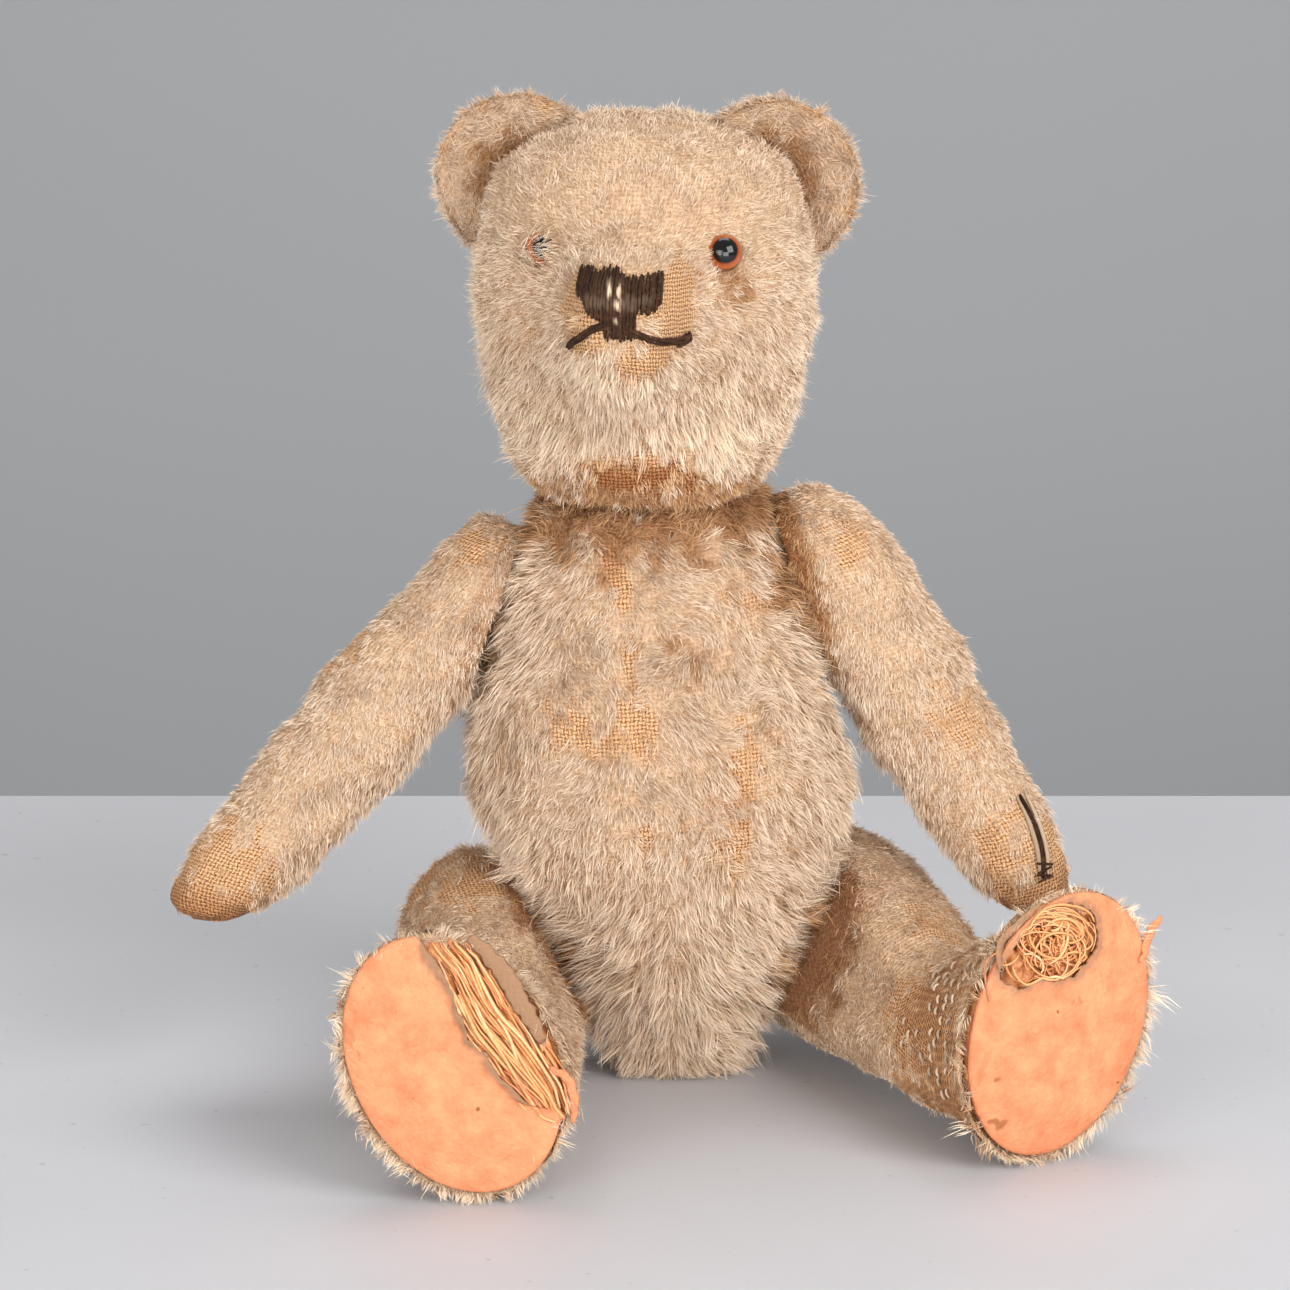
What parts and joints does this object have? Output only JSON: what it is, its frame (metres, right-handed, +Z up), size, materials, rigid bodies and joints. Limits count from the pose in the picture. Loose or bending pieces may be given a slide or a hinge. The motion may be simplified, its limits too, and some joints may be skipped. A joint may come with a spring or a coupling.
{
  "type": "threadbare teddy bear",
  "caption": "Old jointed teddy bear that sits with its legs forward; worn mohair plush over wood wool, torn felt foot pads, glass eyes, head and limbs that turn on disc joints",
  "frame": {"origin": "middle of the bear's footprint, on the surface that it sits on", "axes": "+Z up, the bear faces -Y, its left side is +X"},
  "size_m": [0.1602, 0.0978, 0.1643],
  "materials": {
    "plush": "worn mohair pile on a woven cotton backing, bald in patches, faded and dusty",
    "felt": "pressed wool felt, faded peach, torn",
    "wood_wool": "fine curled wood shavings, packed hard",
    "thread": "dark brown cotton thread in satin stitch, worn pale on top",
    "eye_glass": "brown glass with a black pupil, polished",
    "hardboard": "compressed fibre board, raw",
    "joint_steel": "bare steel, dulled"
  },
  "bodies": {
    "torso": {"torso_skin": "plush", "torso_stuffing": "wood_wool", "neck_torso_disc": "hardboard", "neck_torso_washer": "joint_steel", "neck_pin": "joint_steel", "right_shoulder_torso_disc": "hardboard", "right_shoulder_torso_washer": "joint_steel", "right_shoulder_pin": "joint_steel", "left_shoulder_torso_disc": "hardboard", "left_shoulder_torso_washer": "joint_steel", "left_shoulder_pin": "joint_steel", "right_hip_torso_disc": "hardboard", "right_hip_torso_washer": "joint_steel", "right_hip_pin": "joint_steel", "left_hip_torso_disc": "hardboard", "left_hip_torso_washer": "joint_steel", "left_hip_pin": "joint_steel"},
    "head": {"head_skin": "plush", "head_stuffing": "wood_wool", "right_ear": "plush", "right_eye": "eye_glass", "left_ear": "plush", "left_eye": "eye_glass", "nose_stitching": "thread", "mouth_stitching": "thread", "neck_limb_disc": "hardboard", "neck_limb_washer": "joint_steel"},
    "right_arm": {"right_arm_skin": "plush", "right_arm_stuffing": "wood_wool", "right_shoulder_limb_disc": "hardboard", "right_shoulder_limb_washer": "joint_steel"},
    "left_arm": {"left_arm_skin": "plush", "left_arm_stuffing": "wood_wool", "left_shoulder_limb_disc": "hardboard", "left_shoulder_limb_washer": "joint_steel"},
    "right_leg": {"right_leg_skin": "plush", "right_leg_stuffing": "wood_wool", "right_foot_pad": "felt", "right_hip_limb_disc": "hardboard", "right_hip_limb_washer": "joint_steel"},
    "left_leg": {"left_leg_skin": "plush", "left_leg_stuffing": "wood_wool", "left_foot_pad": "felt", "left_hip_limb_disc": "hardboard", "left_hip_limb_washer": "joint_steel"}
  },
  "joints": [
    {"name": "neck", "type": "hinge", "parent": "torso", "child": "head", "pos_m": [-0.00159, 0.01944, 0.1], "axis": [0, 0, 1], "continuous": true},
    {"name": "right_shoulder", "type": "hinge", "parent": "torso", "child": "right_arm", "pos_m": [-0.02559, 0.01994, 0.08], "axis": [-0.9392, 0.05, 0.3397], "range_deg": [-120, 100]},
    {"name": "left_shoulder", "type": "hinge", "parent": "torso", "child": "left_arm", "pos_m": [0.02241, 0.01994, 0.085], "axis": [0.9547, 0.0603, 0.2914], "range_deg": [-110, 110]},
    {"name": "right_hip", "type": "hinge", "parent": "torso", "child": "right_leg", "pos_m": [-0.01819, 0.01894, 0.0244], "axis": [-0.8908, -0.0601, -0.4504], "range_deg": [-95, 40]},
    {"name": "left_hip", "type": "hinge", "parent": "torso", "child": "left_leg", "pos_m": [0.02141, 0.02344, 0.0244], "axis": [0.8508, 0.4004, -0.3403], "range_deg": [-8, 95]}
  ]
}
